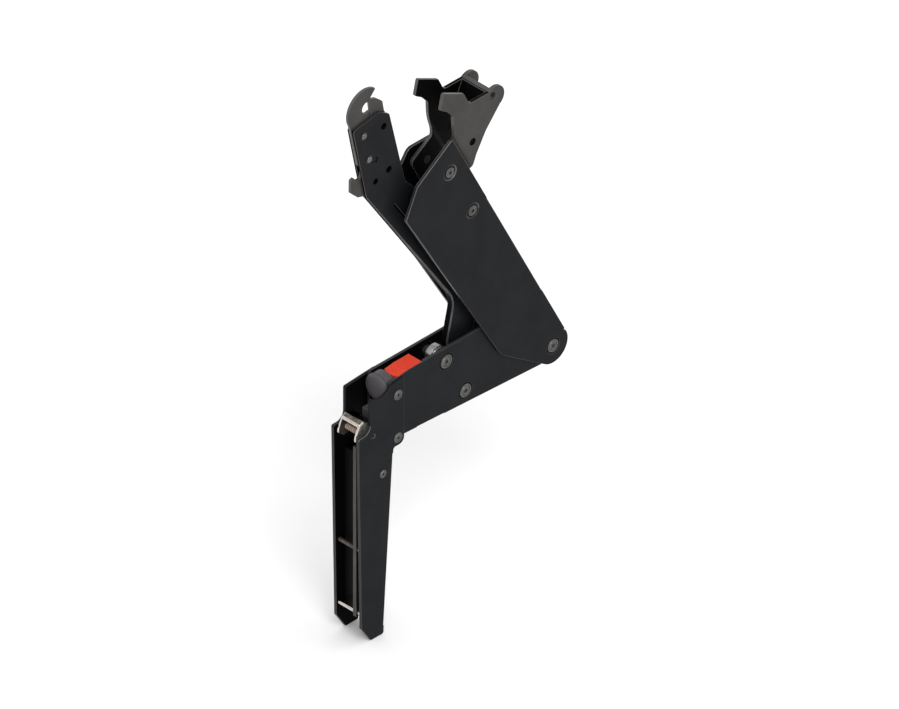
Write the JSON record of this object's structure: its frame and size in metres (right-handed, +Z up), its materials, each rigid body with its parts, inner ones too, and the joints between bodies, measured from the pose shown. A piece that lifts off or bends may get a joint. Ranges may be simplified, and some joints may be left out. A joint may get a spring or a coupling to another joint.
{
  "type": "lift-up door mechanism",
  "caption": "Folding lever set of a lift-up cabinet door: door bracket and arm, main lever with hook bracket, parallel link with latch hook, release button and lock bar.",
  "frame": {"origin": "on the plane of the door's inner face, in the middle of the bracket's width, level with the main lever's pivot", "axes": "+X from the door into the cabinet, +Z up, +Y across the mechanism; the picture's camera is on the -X, -Y side and above"},
  "size_m": [0.1812, 0.025, 0.4039],
  "materials": {
    "black_steel": "satin black powder coat",
    "grey_steel": "satin grey coating",
    "rivet_steel": "dark zinc",
    "bright_steel": "turned",
    "nickel": "nickel plated",
    "brown_steel": "dark brown oiled",
    "dark_plastic": "fine grain",
    "grey_plastic": "fine grain",
    "red_plastic": "satin"
  },
  "bodies": {
    "front_arm": {"front_bracket": "black_steel", "lower_arm": "black_steel", "joining_rivets": "rivet_steel", "liner_rivets": "rivet_steel", "channel_liner": "dark_plastic", "end_plug": "grey_plastic", "button_housing": "dark_plastic", "button_spring": "bright_steel", "catch_pin": "rivet_steel", "link_pivot_pin": "rivet_steel", "stop_pin": "rivet_steel", "stop_sleeve": "bright_steel", "pin_collars": "dark_plastic", "link_spacers": "dark_plastic", "main_pivot_rivets": "rivet_steel"},
    "main_lever_body": {"main_lever": "black_steel", "main_bushes": "dark_plastic", "hook_bracket": "grey_steel", "hook_rivets": "rivet_steel", "hook_insert": "grey_plastic"},
    "link_body": {"link": "black_steel", "link_bush": "dark_plastic", "hook_plate": "grey_steel", "head_rivets": "rivet_steel", "latch_rivet": "rivet_steel"},
    "hook_latch_body": {"hook_latch": "grey_steel"},
    "release_button_body": {"release_button": "red_plastic"},
    "lock_bar_body": {"lock_bar": "nickel", "cross_pins": "nickel"},
    "catch_body": {"catch": "nickel", "catch_core": "brown_steel"}
  },
  "joints": [
    {"name": "main_lever_swing", "type": "hinge", "parent": "front_arm", "child": "main_lever_body", "pos_m": [0.168, 0, 0], "axis": [0, 1, 0], "range_deg": [0, 85]},
    {"name": "link_swing", "type": "hinge", "parent": "front_arm", "child": "link_body", "pos_m": [0.0945, 0, 0.002], "axis": [0, 1, 0], "range_deg": [0, 85]},
    {"name": "hook_latch_turn", "type": "hinge", "parent": "link_body", "child": "hook_latch_body", "pos_m": [0.0183, 0, 0.2096], "axis": [0, 1, 0], "range_deg": [0, 10], "stiffness_Nm_per_rad": 0.3, "springref_deg": -5.73},
    {"name": "button_press", "type": "slide", "parent": "front_arm", "child": "release_button_body", "axis": [0, 0, -1], "range_m": [0, 0.003], "stiffness_N_per_m": 1500, "springref_m": -0.0008, "deforming": ["button_spring"]},
    {"name": "lock_bar_travel", "type": "slide", "parent": "front_arm", "child": "lock_bar_body", "axis": [0, 0, -1], "range_m": [0, 0.003]},
    {"name": "catch_turn", "type": "hinge", "parent": "front_arm", "child": "catch_body", "pos_m": [0.0126, 0, 0.0096], "axis": [0, 1, 0], "range_deg": [0, 10.36]}
  ],
  "couplings": [
    {"joint": "link_swing", "follows": "main_lever_swing", "ratio": 1},
    {"joint": "lock_bar_travel", "follows": "button_press", "ratio": 1},
    {"joint": "catch_turn", "follows": "button_press", "rad_per_m": 60}
  ]
}
